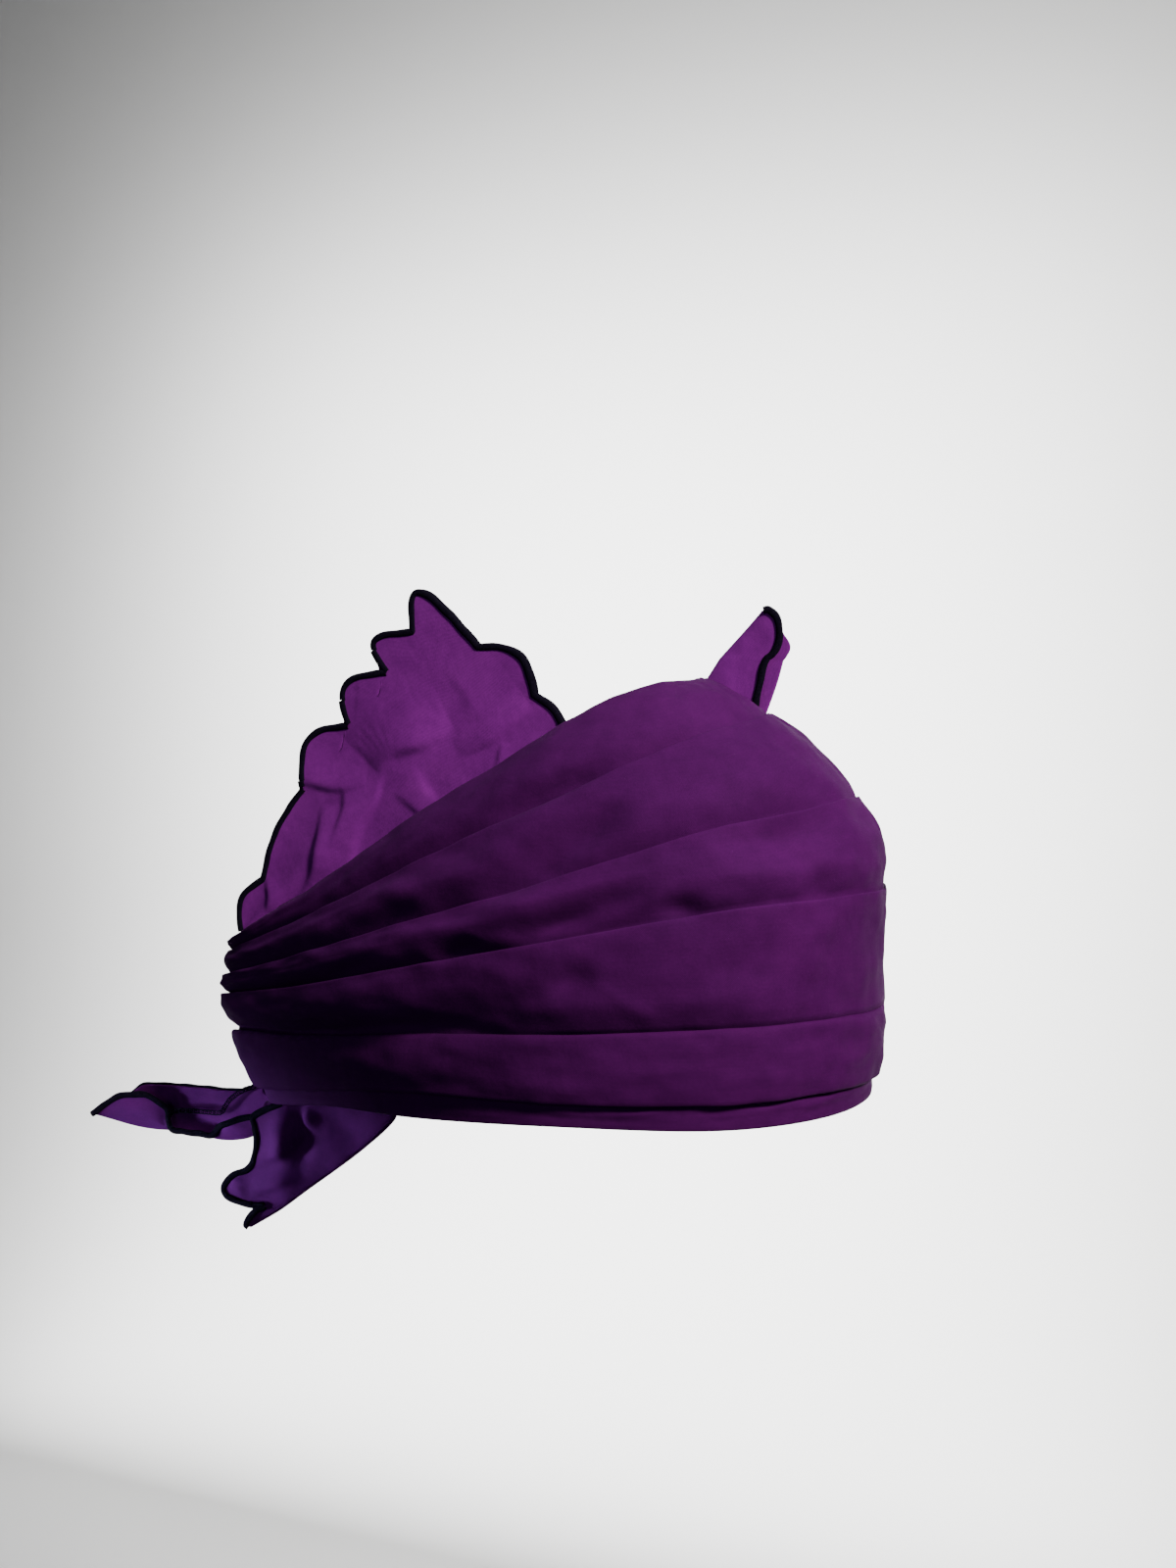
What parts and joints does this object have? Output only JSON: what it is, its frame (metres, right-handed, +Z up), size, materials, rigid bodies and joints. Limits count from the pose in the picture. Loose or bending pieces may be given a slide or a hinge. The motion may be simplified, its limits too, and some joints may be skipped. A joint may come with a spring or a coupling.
{
  "type": "headscarf",
  "caption": "Purple cotton headscarf with a black stitched scalloped edge, pleated round the head, with a standing fan, a turned-up corner and tied ends.",
  "frame": {"origin": "The mount head_seat: in the head opening, level with the lower edge at the forehead, over the wearer's ears.", "axes": "+X is the way the wearer faces, +Y is the wearer's left, +Z is up."},
  "size_m": [0.3726, 0.1748, 0.2814],
  "materials": {
    "purple_cotton": "fine plain weave, lightly starched, soft sheen",
    "black_edging": "matt overcast thread"
  },
  "bodies": {
    "root": {"under_band": "purple_cotton", "brow_band": "purple_cotton", "crown": "purple_cotton", "crown_cover": "purple_cotton", "fan_near_leaf": "purple_cotton", "fan_far_leaf": "purple_cotton", "top_corner": "purple_cotton", "knot": "purple_cotton", "upper_tie": "purple_cotton", "lower_tie": "purple_cotton", "fan_near_edging": "black_edging", "fan_far_edging": "black_edging", "top_corner_edging": "black_edging", "upper_tie_edging": "black_edging", "upper_tie_far_edging": "black_edging", "lower_tie_edging": "black_edging"}
  },
  "joints": []
}
